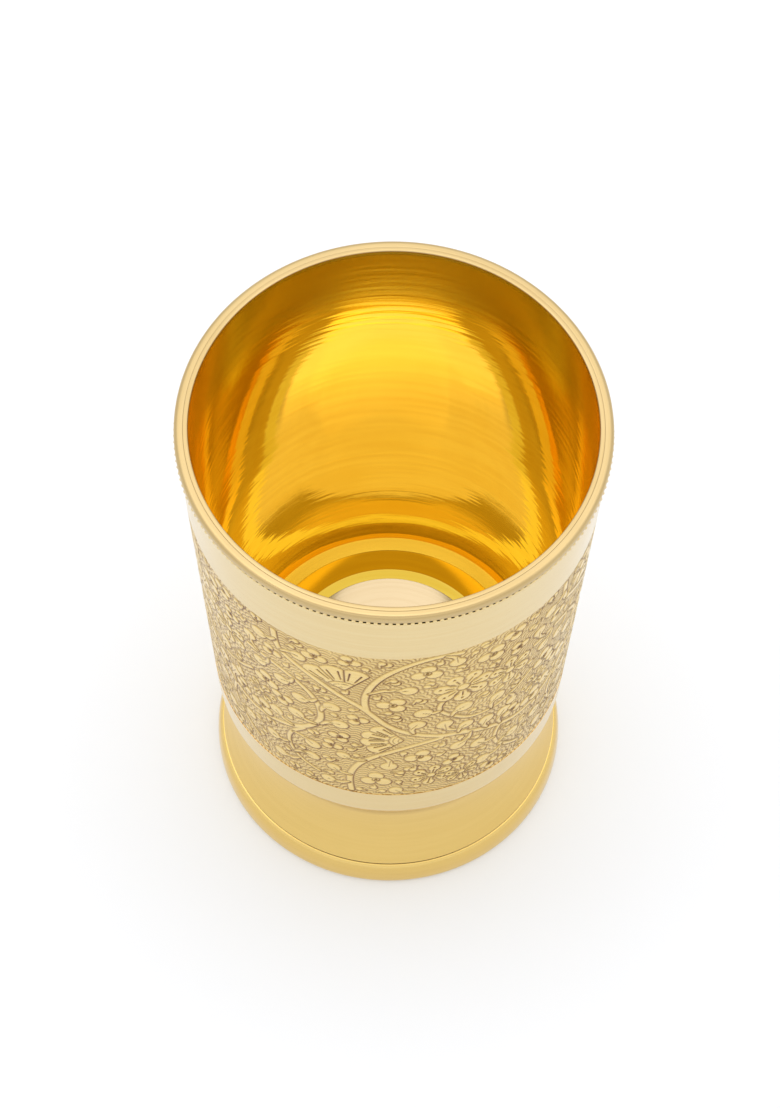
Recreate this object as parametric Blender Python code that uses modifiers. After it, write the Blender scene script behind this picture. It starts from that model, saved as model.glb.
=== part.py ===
"""Brass tumbler: a tapered cup with a beaded rim, on a hollow flared foot.

Metres, +Z up. The origin is the centre of the circle that the tumbler stands on.
Every piece is turned about Z from a profile, except the beaded wire, which is a closed curve.
"""
import math

import bpy
from mathutils import Vector

# Driving dimensions of the cup
OVERALL_HEIGHT = 0.1170
MOUTH_DIAMETER = 0.0708
LIP_WIDTH = 0.00085
LIP_ROUND = 0.00025
CUP_BASE_DIAMETER = 0.0652
CORNER_RADIUS = 0.0057
FLOOR_WALL = 0.0012
WALL_AT_BASE = 0.0008
INSIDE_CORNER_WIDTH = 0.0056
SWEEP_HEIGHT = 0.0320
FLANGE_WIDTH = 0.0024
FLANGE_FALL = 0.00045

# Driving dimensions of the rim
RING_DROP = 0.0003
RING_BODY = 0.0014
RING_LEG = 0.00035
RING_ROUND = 0.0008
BEAD_DIAMETER = 0.0008
BEAD_WAIST = 0.00048
BEAD_PITCH = 0.00114
BEAD_PROUD = 0.00065

# Driving dimensions of the floor plate
FLOOR_SHEET = 0.0012
PLATE_LAP = 0.0029
FLOOR_SLOPE_WIDTH = 0.0030
FLOOR_RISE = 0.0009
FLOOR_RING_WIDTH = 0.0028
DISH_DEPTH = 0.0020

# Driving dimensions of the foot
FOOT_HEIGHT = 0.0264
FOOT_DIAMETER = 0.0668
FOOT_SHEET = 0.0011
LEDGE_WIDTH = 0.0022
LEDGE_THICKNESS = 0.0010
NECK_BELOW_LEDGE = 0.0010
FLARE_SAG = 0.0009
BASE_RING_HEIGHT = 0.0060
BASE_RING_CROWN = 0.0015
BASE_RING_BULGE = 0.0012
BASE_RING_UNDERCUT = 0.0009
BASE_RING_INSET = 0.0006

# Space left between pieces that touch on the real tumbler
CLEARANCE = 0.0003

# Fineness of the turned surfaces
TURN_STEPS = 60
ARC_STEPS = 6
ROUND_STEPS = 2
BEAD_SIDES_RESOLUTION = 1
SHARP_ANGLE = math.radians(35)
MERGE_DISTANCE = 1e-6

# Radii and heights that the pieces share, worked out from the mouth outwards and down
mouth_radius = MOUTH_DIAMETER / 2
lip_outer = mouth_radius + LIP_WIDTH
ring_inner = lip_outer + CLEARANCE
leg_outer = ring_inner + RING_LEG
bead_centre_radius = leg_outer + CLEARANCE + BEAD_DIAMETER / 2
bead_outer = bead_centre_radius + BEAD_DIAMETER / 2
ring_outer = bead_outer
body_top_radius = bead_outer - BEAD_PROUD

ring_top = OVERALL_HEIGHT - RING_DROP
ring_underside = ring_top - RING_BODY
bead_centre_height = ring_underside - CLEARANCE - BEAD_DIAMETER / 2
leg_bottom = bead_centre_height - BEAD_DIAMETER / 2
shoulder_height = leg_bottom - CLEARANCE

cup_underside = FOOT_HEIGHT + CLEARANCE
flange_top = cup_underside + FLOOR_WALL
cup_base_radius = CUP_BASE_DIAMETER / 2
inside_taper = (mouth_radius - cup_base_radius + WALL_AT_BASE) / (OVERALL_HEIGHT - cup_underside)

# The inside corner sets the flange, whose opening sets the floor plate and the foot's neck
flange_edge_radius = cup_base_radius - INSIDE_CORNER_WIDTH
flange_edge_height = flange_top + FLANGE_FALL
flange_opening = flange_edge_radius - FLANGE_WIDTH
plate_radius = flange_opening + PLATE_LAP
neck_radius = plate_radius + CLEARANCE + FOOT_SHEET
flare_radius = FOOT_DIAMETER / 2 - BASE_RING_BULGE


def point(radius, height):
    """A point of a profile in the XZ plane."""
    return Vector((radius, 0.0, height))


def fillet(before, corner, after, radius, steps):
    """Points of the arc that rounds a corner between two straight runs."""
    to_before = (before - corner).normalized()
    to_after = (after - corner).normalized()
    half_angle = to_before.angle(to_after) / 2
    start = corner + to_before * (radius / math.tan(half_angle))
    centre = corner + (to_before + to_after).normalized() * (radius / math.sin(half_angle))
    end = corner + to_after * (radius / math.tan(half_angle))
    from_centre = start - centre
    sweep = from_centre.angle(end - centre)
    sideways = (end - centre) - from_centre * math.cos(sweep)
    sideways = sideways.normalized() * radius
    angles = [sweep * step / steps for step in range(steps + 1)]
    return [centre + from_centre * math.cos(angle) + sideways * math.sin(angle) for angle in angles]


def ellipse_quarter(centre, width, height, start_degrees, end_degrees, steps):
    """Points along a quarter of an ellipse in the XZ plane."""
    points = []
    for step in range(steps + 1):
        angle = math.radians(start_degrees + (end_degrees - start_degrees) * step / steps)
        points.append(centre + point(width * math.cos(angle), height * math.sin(angle)))
    return points


def sagging_line(start, end, sag, steps):
    """Points from start to end along a shallow curve that sags towards the axis."""
    points = []
    for step in range(steps + 1):
        share = step / steps
        inward = 4 * sag * share * (1 - share)
        points.append(start.lerp(end, share) - point(inward, 0.0))
    return points


def inside_wall_radius(height):
    """Radius of the straight inside wall, which leaves the wall thinner towards the base."""
    return mouth_radius - inside_taper * (OVERALL_HEIGHT - height)


def inside_sweep(steps):
    """Points from the flange's edge up the curve that sweeps into the straight wall."""
    depth = inside_wall_radius(flange_edge_height) - flange_edge_radius
    points = []
    for step in range(steps + 1):
        share = step / steps
        height = flange_edge_height + SWEEP_HEIGHT * share
        points.append(point(inside_wall_radius(height) - depth * (1 - share) ** 2, height))
    return points


def brass(name, colour, roughness):
    """A polished brass finish of one colour."""
    material = bpy.data.materials.new(name)
    material.use_nodes = True
    shader = material.node_tree.nodes["Principled BSDF"]
    shader.inputs["Base Color"].default_value = (*colour, 1.0)
    shader.inputs["Metallic"].default_value = 1.0
    shader.inputs["Roughness"].default_value = roughness
    return material


def add_piece(name, data, material):
    """Put a piece in the tumbler's collection, under its empty."""
    piece = bpy.data.objects.new(name, data)
    tumbler.objects.link(piece)
    piece.parent = axis_empty
    piece.data.materials.append(material)
    return piece


def turned(name, profile, material, is_ring=True):
    """Turn a profile about Z. A ring's profile closes on itself; any other ends on the axis."""
    count = len(profile)
    edges = [(index, index + 1) for index in range(count - 1)]
    if is_ring:
        edges.append((count - 1, 0))
    outline = bpy.data.meshes.new(name + "_profile")
    outline.from_pydata(profile, edges, [])
    piece = add_piece(name, outline, material)
    screw = piece.modifiers.new("Turn about Z", "SCREW")
    screw.axis = "Z"
    screw.angle = math.tau
    screw.steps = TURN_STEPS
    screw.render_steps = TURN_STEPS
    screw.use_merge_vertices = True
    screw.merge_threshold = MERGE_DISTANCE
    shade_round(piece)
    return piece


def shade_round(piece):
    """Keep the turned mesh, smooth along its curves and crisp at its corners."""
    evaluated = piece.evaluated_get(bpy.context.evaluated_depsgraph_get())
    solid = bpy.data.meshes.new_from_object(evaluated)
    solid.name = piece.name
    piece.modifiers.clear()
    piece.data = solid
    solid.shade_smooth()
    solid.set_sharp_from_angle(angle=SHARP_ANGLE)


def build_cup_wall():
    """The cup: lip, rebate for the rim, tapered wall, round corner, flange and inside sweep."""
    lip_round = min(LIP_ROUND, LIP_WIDTH * 0.45)
    shoulder_outer = point(body_top_radius, shoulder_height)
    shoulder_inner = point(lip_outer, shoulder_height)
    lip_outer_corner = point(lip_outer, OVERALL_HEIGHT)
    lip_inner_corner = point(mouth_radius, OVERALL_HEIGHT)
    outer_corner = point(cup_base_radius, cup_underside)
    sweep = inside_sweep(ARC_STEPS)
    outer_arc = fillet(shoulder_outer, outer_corner, point(0, cup_underside), CORNER_RADIUS, ARC_STEPS)
    profile = fillet(lip_inner_corner, lip_outer_corner, shoulder_inner, lip_round, ROUND_STEPS)
    profile += [shoulder_inner, shoulder_outer]
    profile += outer_arc
    profile += [point(flange_opening, cup_underside), point(flange_opening, flange_top)]
    profile += sweep
    profile += fillet(sweep[-1], lip_inner_corner, lip_outer_corner, lip_round, ROUND_STEPS)
    return turned("cup_wall", profile, brass("cup_brass", (0.80, 0.62, 0.28), 0.18))


def build_cup_floor():
    """The floor plate: flat edge, slope, raised ring and dished middle, in even sheet."""
    edge_height = cup_underside - CLEARANCE
    slope_start = flange_opening - CLEARANCE
    ring_start = slope_start - FLOOR_SLOPE_WIDTH
    dish_radius = ring_start - FLOOR_RING_WIDTH
    raised = edge_height + FLOOR_RISE
    upper = []
    for step in range(ARC_STEPS + 1):
        share = step / ARC_STEPS
        upper.append(point(dish_radius * share, raised - DISH_DEPTH * (1 - share ** 2)))
    upper += [point(ring_start, raised), point(slope_start, edge_height), point(plate_radius, edge_height)]
    lower = [place - point(0, FLOOR_SHEET) for place in reversed(upper)]
    return turned("cup_floor", upper + lower, brass("floor_brass", (0.84, 0.66, 0.30), 0.15), is_ring=False)


def build_rim_ring():
    """The rim ring: a rounded band round the lip, on a leg that stands on the shoulder."""
    ring_round = min(RING_ROUND, RING_BODY * 0.7, (ring_outer - ring_inner) * 0.7)
    top_inner = point(ring_inner, ring_top)
    top_outer = point(ring_outer, ring_top)
    under_outer = point(ring_outer, ring_underside)
    profile = fillet(top_inner, top_outer, under_outer, ring_round, ARC_STEPS // 2)
    profile += [under_outer, point(leg_outer, ring_underside)]
    profile += [point(leg_outer, leg_bottom), point(ring_inner, leg_bottom), top_inner]
    return turned("rim_ring", profile, brass("rim_brass", (0.86, 0.70, 0.36), 0.16))


def build_beaded_wire():
    """The wire under the rim: a closed curve that swells at each bead and narrows between."""
    bead_count = round(math.tau * bead_centre_radius / BEAD_PITCH)
    curve = bpy.data.curves.new("beaded_wire", "CURVE")
    curve.dimensions = "3D"
    curve.twist_mode = "Z_UP"
    curve.bevel_depth = BEAD_DIAMETER / 2
    curve.bevel_resolution = BEAD_SIDES_RESOLUTION
    spline = curve.splines.new("POLY")
    spline.points.add(2 * bead_count - 1)
    spline.use_cyclic_u = True
    for index, place in enumerate(spline.points):
        turn = math.tau * index / (2 * bead_count)
        across = bead_centre_radius * math.cos(turn)
        along = bead_centre_radius * math.sin(turn)
        place.co = (across, along, bead_centre_height, 1.0)
        place.radius = 1.0 if index % 2 == 0 else BEAD_WAIST / BEAD_DIAMETER
    spline.use_smooth = True
    return add_piece("beaded_wire", curve, brass("bead_brass", (0.78, 0.60, 0.28), 0.22))


def build_foot_shell():
    """The foot: a collar with a ledge for the floor plate, a neck and a flare."""
    seat_radius = neck_radius - FOOT_SHEET
    ledge_top = FOOT_HEIGHT - FLOOR_SHEET - CLEARANCE
    ledge_bottom = ledge_top - LEDGE_THICKNESS
    neck_bottom = ledge_bottom - NECK_BELOW_LEDGE
    sheet = point(FOOT_SHEET, 0)
    flare_top = point(neck_radius, neck_bottom)
    flare_bottom = point(flare_radius, BASE_RING_HEIGHT + CLEARANCE)
    flare = sagging_line(flare_top, flare_bottom, FLARE_SAG, ARC_STEPS)
    profile = [point(neck_radius, FOOT_HEIGHT)]
    profile += flare
    profile += [place - sheet for place in reversed(flare)]
    profile += [point(seat_radius, ledge_bottom), point(seat_radius - LEDGE_WIDTH, ledge_bottom)]
    profile += [point(seat_radius - LEDGE_WIDTH, ledge_top), point(seat_radius, ledge_top)]
    profile += [point(seat_radius, FOOT_HEIGHT)]
    return turned("foot_shell", profile, brass("foot_brass", (0.82, 0.62, 0.25), 0.15))


def build_base_ring():
    """The ring that the tumbler stands on: a rounded band with a flat underside."""
    ring_inside = flare_radius - FOOT_SHEET - BASE_RING_INSET
    upper_centre = point(flare_radius, BASE_RING_CROWN)
    lower_centre = point(flare_radius + BASE_RING_BULGE - BASE_RING_UNDERCUT, BASE_RING_CROWN)
    upper_height = BASE_RING_HEIGHT - BASE_RING_CROWN
    profile = ellipse_quarter(upper_centre, BASE_RING_BULGE, upper_height, 90, 0, ARC_STEPS)
    profile += ellipse_quarter(lower_centre, BASE_RING_UNDERCUT, BASE_RING_CROWN, 0, -90, ARC_STEPS // 2)[1:]
    profile += [point(ring_inside, 0), point(ring_inside, BASE_RING_HEIGHT)]
    return turned("base_ring", profile, brass("base_brass", (0.82, 0.62, 0.26), 0.16))


# A clean scene, with one collection and one empty on the tumbler's axis
for leftover in list(bpy.data.objects):
    bpy.data.objects.remove(leftover)
tumbler = bpy.data.collections.new("brass_tumbler")
bpy.context.scene.collection.children.link(tumbler)
axis_empty = bpy.data.objects.new("tumbler_axis", None)
tumbler.objects.link(axis_empty)

build_cup_wall()
build_cup_floor()
build_rim_ring()
build_beaded_wire()
build_foot_shell()
build_base_ring()
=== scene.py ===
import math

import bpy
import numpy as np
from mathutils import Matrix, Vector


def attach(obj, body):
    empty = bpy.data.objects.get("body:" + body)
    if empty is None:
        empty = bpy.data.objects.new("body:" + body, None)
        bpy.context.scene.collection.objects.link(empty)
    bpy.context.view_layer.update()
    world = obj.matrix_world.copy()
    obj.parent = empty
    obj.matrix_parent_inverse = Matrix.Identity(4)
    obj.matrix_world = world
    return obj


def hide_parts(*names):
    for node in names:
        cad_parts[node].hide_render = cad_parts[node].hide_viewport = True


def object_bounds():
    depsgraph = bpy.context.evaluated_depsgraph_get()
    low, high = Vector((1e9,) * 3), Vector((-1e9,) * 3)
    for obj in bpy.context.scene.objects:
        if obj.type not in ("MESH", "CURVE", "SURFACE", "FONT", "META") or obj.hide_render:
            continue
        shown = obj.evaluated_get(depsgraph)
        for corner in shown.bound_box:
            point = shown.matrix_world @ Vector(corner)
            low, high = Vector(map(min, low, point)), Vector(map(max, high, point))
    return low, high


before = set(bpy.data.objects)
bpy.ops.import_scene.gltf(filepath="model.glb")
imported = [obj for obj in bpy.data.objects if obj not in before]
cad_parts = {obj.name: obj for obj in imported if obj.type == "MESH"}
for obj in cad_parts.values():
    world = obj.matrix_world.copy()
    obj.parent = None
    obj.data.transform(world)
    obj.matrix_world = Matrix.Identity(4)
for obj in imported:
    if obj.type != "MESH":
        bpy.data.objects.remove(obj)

# %% [markdown]
# A brass tumbler, dressed.
# The frame holds six plain solids: the cup wall, its floor plate, the rim ring, a beaded wire,
# the foot and the ring that it stands on. This lesson turns each of them again as a smooth shell,
# cuts a vine into the cup's side, and gives every surface its own brass.
# The first thing to keep is the box of the plain solids, because the dressed tumbler has to fit it.

cad_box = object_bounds()
MM = 0.001
scene = bpy.context.scene


def rounded(box):
    """The corners of a box, short enough to print."""
    return [tuple(round(value, 4) for value in corner) for corner in box]


print("solids:", sorted(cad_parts), "box", rounded(cad_box))

# %% [markdown]
# The camera stands a long arm's length away and looks down into the cup, at about 61 degrees.
# A long lens keeps the sides of the cup almost parallel, as they are in the photograph.
# Its place and tilt were found by matching the ellipses of the mouth and of the foot.

# %% Camera
PICTURE_HEIGHT_PX = 1108
FOCAL_LENGTH_PX = 4000
SENSOR_HEIGHT = 24.0
CAMERA_PITCH = 61.176
CAMERA_ROLL = 1.036
CAMERA_PLACE = Vector((-0.00029, -0.35010, 0.70710))


def add_camera():
    """A long lens over the mouth, with no shift and no depth of field."""
    data = bpy.data.cameras.new("camera")
    data.sensor_fit = "VERTICAL"
    data.sensor_height = SENSOR_HEIGHT
    data.lens = SENSOR_HEIGHT * FOCAL_LENGTH_PX / PICTURE_HEIGHT_PX
    camera = bpy.data.objects.new("camera", data)
    scene.collection.objects.link(camera)
    pitch = Matrix.Rotation(math.radians(90 - CAMERA_PITCH), 4, "X")
    roll = Matrix.Rotation(math.radians(CAMERA_ROLL), 4, "Z")
    camera.matrix_world = Matrix.Translation(CAMERA_PLACE) @ pitch @ roll
    return camera


scene.camera = add_camera()
scene.view_settings.view_transform = "Standard"
print("lens", round(scene.camera.data.lens, 1), "mm on a sensor", SENSOR_HEIGHT, "mm high")

# %% [markdown]
# Polished brass has hardly any look of its own: it shows the room. The outside of the cup shows the
# white table, so the table has to be white. A plain plane does for it. It has a faint glow that only the
# camera and the metal see, so its white is even and the shadow under the foot stays.

# %% Table
TABLE_SIZE = 6.0
TABLE_WHITE = (0.74, 0.755, 0.785)
TABLE_GLOW = 0.17
TABLE_ROUGHNESS = 0.9
TABLE_SHEEN = 0.1


def math_node(nodes, links, operation, first, second=0.0):
    """A math node on two values, each a socket or a number."""
    node = nodes.new("ShaderNodeMath")
    node.operation = operation
    for place, value in enumerate((first, second)):
        if isinstance(value, (int, float)):
            node.inputs[place].default_value = value
        else:
            links.new(value, node.inputs[place])
    return node.outputs[0]


def add_table():
    """A plain white table. Its glow shows to the camera and in the metal, and lights nothing."""
    bpy.ops.object.select_all(action="DESELECT")
    bpy.ops.mesh.primitive_plane_add(size=TABLE_SIZE)
    table = bpy.context.object
    table.name = "table"
    material = bpy.data.materials.new("table_white")
    material.use_nodes = True
    nodes, links = material.node_tree.nodes, material.node_tree.links
    shader = nodes["Principled BSDF"]
    shader.inputs["Base Color"].default_value = (*TABLE_WHITE, 1)
    shader.inputs["Roughness"].default_value = TABLE_ROUGHNESS
    shader.inputs["Specular IOR Level"].default_value = TABLE_SHEEN
    shader.inputs["Emission Color"].default_value = (1, 1, 1, 1)
    path = nodes.new("ShaderNodeLightPath")
    straight, mirrored = path.outputs["Is Camera Ray"], path.outputs["Is Glossy Ray"]
    seen = math_node(nodes, links, "MAXIMUM", straight, mirrored)
    seen = math_node(nodes, links, "MAXIMUM", seen, path.outputs["Is Transmission Ray"])
    glow = math_node(nodes, links, "MULTIPLY", seen, TABLE_GLOW)
    links.new(glow, shader.inputs["Emission Strength"])
    table.data.materials.append(material)
    return table


add_table()
print("table", TABLE_SIZE, "m wide, glow", TABLE_GLOW)

# %% [markdown]
# The inside of the cup shows the ceiling and the upper walls, again and again, and takes more of the
# brass colour at each bounce. So the room is pale all round, with brighter upper walls and a bright
# ceiling behind the cup. That ceiling is brightest overhead, and this core makes the bright patch inside.
# The room could be built of planes, but for so small a mirror only directions count, so the world
# paints it.

# %% Room
ROOM_LEVEL = 0.99
CEILING_EXTRA = 0.58
CEILING_LEAN = 0.22
CEILING_SPREAD = 0.40
CEILING_EDGE = (0.83, 0.855)
CEILING_BACK = (0.04, 0.11)
CORE_EXTRA = 0.40
CORE_EDGE = (0.865, 0.90)
WALLS_EXTRA = 0.37
WALLS_BOTTOM = (0.62, 0.68)
WALLS_TOP = (0.85, 0.83)


def ramp_node(nodes, links, value, start, end):
    """A soft step from 0 to 1 as a value goes from start to end."""
    node = nodes.new("ShaderNodeMapRange")
    node.interpolation_type = "SMOOTHSTEP"
    node.inputs["From Min"].default_value = start
    node.inputs["From Max"].default_value = end
    links.new(value, node.inputs["Value"])
    return node.outputs[0]


def add_room():
    """A pale room with brighter upper walls and a ceiling that is brightest behind the cup."""
    room = bpy.data.worlds.new("room")
    scene.world = room
    room.use_nodes = True
    nodes, links = room.node_tree.nodes, room.node_tree.links
    background = nodes["Background"]
    background.inputs["Color"].default_value = (1, 1, 1, 1)
    direction = nodes.new("ShaderNodeTexCoord")
    parts = nodes.new("ShaderNodeSeparateXYZ")
    links.new(direction.outputs["Generated"], parts.inputs[0])
    right, back, up = parts.outputs
    sideways = math_node(nodes, links, "ABSOLUTE", right)

    def both(first, second):
        return math_node(nodes, links, "MULTIPLY", first, second)

    behind = math_node(nodes, links, "ADD", back, both(sideways, CEILING_SPREAD))
    overhead = ramp_node(nodes, links, up, *CEILING_EDGE)
    ceiling = both(overhead, ramp_node(nodes, links, behind, *CEILING_BACK))
    lean = math_node(nodes, links, "SUBTRACT", CEILING_EXTRA, both(right, CEILING_LEAN))
    walls = both(ramp_node(nodes, links, up, *WALLS_BOTTOM), ramp_node(nodes, links, up, *WALLS_TOP))
    core = both(ceiling, ramp_node(nodes, links, up, *CORE_EDGE))
    level = math_node(nodes, links, "ADD", ROOM_LEVEL, both(ceiling, lean))
    level = math_node(nodes, links, "ADD", level, both(core, CORE_EXTRA))
    level = math_node(nodes, links, "ADD", level, both(walls, WALLS_EXTRA))
    links.new(level, background.inputs["Strength"])


add_room()
print("room level", ROOM_LEVEL, "and up to", round(ROOM_LEVEL + CEILING_EXTRA + CORE_EXTRA, 2), "overhead")

# %% [markdown]
# A faint wide softbox above and behind the cup adds a little light from the side of the bright ceiling.
# It is an oval lamp, which leaves no corners in the metal. Light goes from wall to wall many times in a
# deep cup, so the metal is given more bounces than it has at first.

# %% Softbox
SOFTBOX_DISTANCE = 1.2
SOFTBOX_ELEVATION = 69
SOFTBOX_SIDEWAYS = -0.06
SOFTBOX_WIDTH = 1.40
SOFTBOX_DEPTH = 0.60
SOFTBOX_BRIGHTNESS = 0.12
METAL_BOUNCES = 14
SPARE_BOUNCES = 4


def add_softbox():
    """A wide oval lamp above and behind the cup that faces its mouth."""
    lamp = bpy.data.lights.new("softbox", "AREA")
    lamp.shape = "ELLIPSE"
    lamp.size = SOFTBOX_WIDTH
    lamp.size_y = SOFTBOX_DEPTH
    area = math.pi * SOFTBOX_WIDTH * SOFTBOX_DEPTH / 4
    lamp.energy = SOFTBOX_BRIGHTNESS * math.pi * area
    softbox = bpy.data.objects.new("softbox", lamp)
    scene.collection.objects.link(softbox)
    lift = math.radians(SOFTBOX_ELEVATION)
    towards_lamp = Vector((SOFTBOX_SIDEWAYS, math.cos(lift), math.sin(lift)))
    softbox.location = towards_lamp * SOFTBOX_DISTANCE + Vector((0, 0, cad_box[1][2]))
    softbox.rotation_euler = towards_lamp.to_track_quat("Z", "Y").to_euler()


add_softbox()
scene.cycles.glossy_bounces = METAL_BOUNCES
scene.cycles.max_bounces = METAL_BOUNCES + SPARE_BOUNCES
print("softbox", SOFTBOX_WIDTH, "by", SOFTBOX_DEPTH, "m, at", SOFTBOX_ELEVATION, "degrees")

# %% [markdown]
# Nearly every piece of this tumbler is turned, so the modelling follows the lathe and starts with an
# outline. Rounded corners are arcs in the outline, with a few points each, because a bevel afterwards
# would have to be told which edges stay sharp. A long straight face next to an arc would take some of the
# arc's smooth shading, and a mirror shows that at once, so every long stretch gets a support point
# close to each of its ends.

# %% Points of an outline
SUPPORT = 0.15 * MM


def round_corner(before, corner, after, radius, steps=6):
    """Points of the arc that rounds a corner of an outline."""
    before, corner, after = Vector(before), Vector(corner), Vector(after)
    back = (before - corner).normalized()
    ahead = (after - corner).normalized()
    half = back.angle(ahead) / 2
    centre = corner + (back + ahead).normalized() * (radius / math.sin(half))
    arm = corner + back * (radius / math.tan(half)) - centre
    end_arm = corner + ahead * (radius / math.tan(half)) - centre
    sweep = arm.angle(end_arm)
    side = (end_arm - arm * math.cos(sweep)).normalized() * radius
    turns = [sweep * step / steps for step in range(steps + 1)]
    return [tuple(centre + arm * math.cos(turn) + side * math.sin(turn)) for turn in turns]


def oval_arc(centre, width, height, start, end, steps):
    """Points along part of an oval, with the angles in degrees."""
    points = []
    for step in range(steps + 1):
        turn = math.radians(start + (end - start) * step / steps)
        points.append((centre[0] + width * math.cos(turn), centre[1] + height * math.sin(turn)))
    return points


def add_supports(outline):
    """Put a support point near both ends of every long stretch of an outline."""
    points = [outline[0]]
    for here, there in zip(outline, outline[1:]):
        here, there = Vector(here), Vector(there)
        stretch = there - here
        if stretch.length > 4 * SUPPORT:
            nudge = stretch.normalized() * SUPPORT
            points += [tuple(here + nudge), tuple(there - nudge)]
        points.append(tuple(there))
    return points


print("support points", round(SUPPORT / MM, 2), "mm from each corner")

# %% [markdown]
# The outline is drawn as a chain of edges in the XZ plane, by pulling one vertex along, and is then spun
# about Z. The spin leaves a double seam where it closes, so the doubles are merged and the normals are
# made to point out. A screw modifier would do the same, but the spin makes real faces at once, and the
# finishes are laid on faces later.

# %% Lathe
TURN_STEPS = 360
SEAM_GAP = 0.002 * MM
CREASE = math.radians(32)


def open_piece(name):
    """Name the object that was just added, and open its whole mesh for editing."""
    piece = bpy.context.object
    piece.name = name
    piece.data.name = name
    bpy.ops.object.mode_set(mode="EDIT")
    bpy.ops.mesh.select_all(action="SELECT")
    return piece


def close_piece():
    """Make the normals point out, leave edit mode and smooth all but the sharp edges."""
    bpy.ops.mesh.select_all(action="SELECT")
    bpy.ops.mesh.normals_make_consistent(inside=False)
    bpy.ops.object.mode_set(mode="OBJECT")
    bpy.ops.object.shade_smooth_by_angle(angle=CREASE)


def draw_outline(name, outline):
    """Pull one vertex along the outline, and leave the chain of edges open in edit mode."""
    bpy.ops.object.select_all(action="DESELECT")
    bpy.ops.mesh.primitive_plane_add(size=MM, location=(0, 0, 0))
    piece = open_piece(name)
    bpy.ops.mesh.merge(type="CENTER")
    bpy.ops.transform.translate(value=(outline[0][0], 0, outline[0][1]))
    for here, there in zip(outline, outline[1:]):
        step = (there[0] - here[0], 0, there[1] - here[1])
        bpy.ops.mesh.extrude_region_move(TRANSFORM_OT_translate={"value": step})
    return piece


def turn_piece(name, outline, closed=True):
    """Spin an outline about Z. A closed outline makes a ring, any other ends on the axis."""
    chain = outline + [outline[0]] if closed else outline
    piece = draw_outline(name, add_supports(chain))
    bpy.ops.mesh.select_all(action="SELECT")
    bpy.ops.mesh.spin(steps=TURN_STEPS, angle=math.tau, center=(0, 0, 0), axis=(0, 0, 1))
    bpy.ops.mesh.select_all(action="SELECT")
    bpy.ops.mesh.remove_doubles(threshold=SEAM_GAP)
    close_piece()
    print(name, "outline points", len(outline), "faces", len(piece.data.polygons))
    return piece


print("lathe steps", TURN_STEPS)

# %% [markdown]
# The cup is the main piece. Its outside tapers from the rim down to a round corner. Its inside tapers
# a little less and sweeps in, over a third of its height, to a narrow sloping flange round the floor.
# A shallow bed is left in the side, and the engraved panels lie in it. All of it is one closed outline,
# drawn up the inside, over the lip, and down the outside.

# %% Cup
MOUTH_RADIUS = 35.4 * MM
LIP_WIDTH = 0.85 * MM
LIP_ROUND = 0.22 * MM
LIP_OUTER_ROUND = 0.055 * MM
LIP_TOP = 117.0 * MM
SHOULDER = 113.95 * MM
BODY_TOP_RADIUS = 37.35 * MM
BODY_TOP = 113.9 * MM
SHOULDER_ROUND = 0.15 * MM
CUP_BASE_RADIUS = 32.6 * MM
CUP_UNDERSIDE = 26.7 * MM
CORNER_RADIUS = 5.7 * MM
FLANGE_TOP = 27.9 * MM
FLANGE_FALL = 0.45 * MM
FLANGE_EDGE_RADIUS = 27.0 * MM
FLANGE_OPENING = 24.52 * MM
SWEEP_HEIGHT = 36.0 * MM
SWEEP_BEND = 1.8
WALL_AT_BASE = 0.8 * MM
BAND_TOP = 100.0 * MM
BAND_BOTTOM = 39.0 * MM
BED_DEPTH = 0.35 * MM
SWEEP_STEPS = 24

lip_outer = MOUTH_RADIUS + LIP_WIDTH
taper = (BODY_TOP_RADIUS - CUP_BASE_RADIUS) / (BODY_TOP - CUP_UNDERSIDE)
inside_taper = (MOUTH_RADIUS - CUP_BASE_RADIUS + WALL_AT_BASE) / (LIP_TOP - CUP_UNDERSIDE)


def outside_radius(height):
    """Radius of the cup's outside at a height."""
    return CUP_BASE_RADIUS + taper * (height - CUP_UNDERSIDE)


def inside_radius(height):
    """Radius of the straight part of the cup's inside at a height."""
    return MOUTH_RADIUS - inside_taper * (LIP_TOP - height)


def inside_outline():
    """From the flange's edge, up the sweep, to the foot of the straight inside wall."""
    edge_height = FLANGE_TOP + FLANGE_FALL
    depth = inside_radius(edge_height) - FLANGE_EDGE_RADIUS
    points = []
    for step in range(SWEEP_STEPS + 1):
        share = step / SWEEP_STEPS
        height = edge_height + SWEEP_HEIGHT * share
        points.append((inside_radius(height) - depth * (1 - share) ** SWEEP_BEND, height))
    return points


def outside_outline():
    """From the shoulder, down past the bed of the engraving, round the corner to the flange."""
    shoulder_outer = (BODY_TOP_RADIUS, SHOULDER)
    base_corner = (CUP_BASE_RADIUS, CUP_UNDERSIDE)
    points = round_corner((lip_outer, SHOULDER), shoulder_outer, base_corner, SHOULDER_ROUND, steps=3)
    points.append((outside_radius(BAND_TOP), BAND_TOP))
    points.append((outside_radius(BAND_TOP) - BED_DEPTH, BAND_TOP))
    points.append((outside_radius(BAND_BOTTOM) - BED_DEPTH, BAND_BOTTOM))
    points.append((outside_radius(BAND_BOTTOM), BAND_BOTTOM))
    points += round_corner(shoulder_outer, base_corner, (0, CUP_UNDERSIDE), CORNER_RADIUS, steps=14)
    return points


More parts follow.
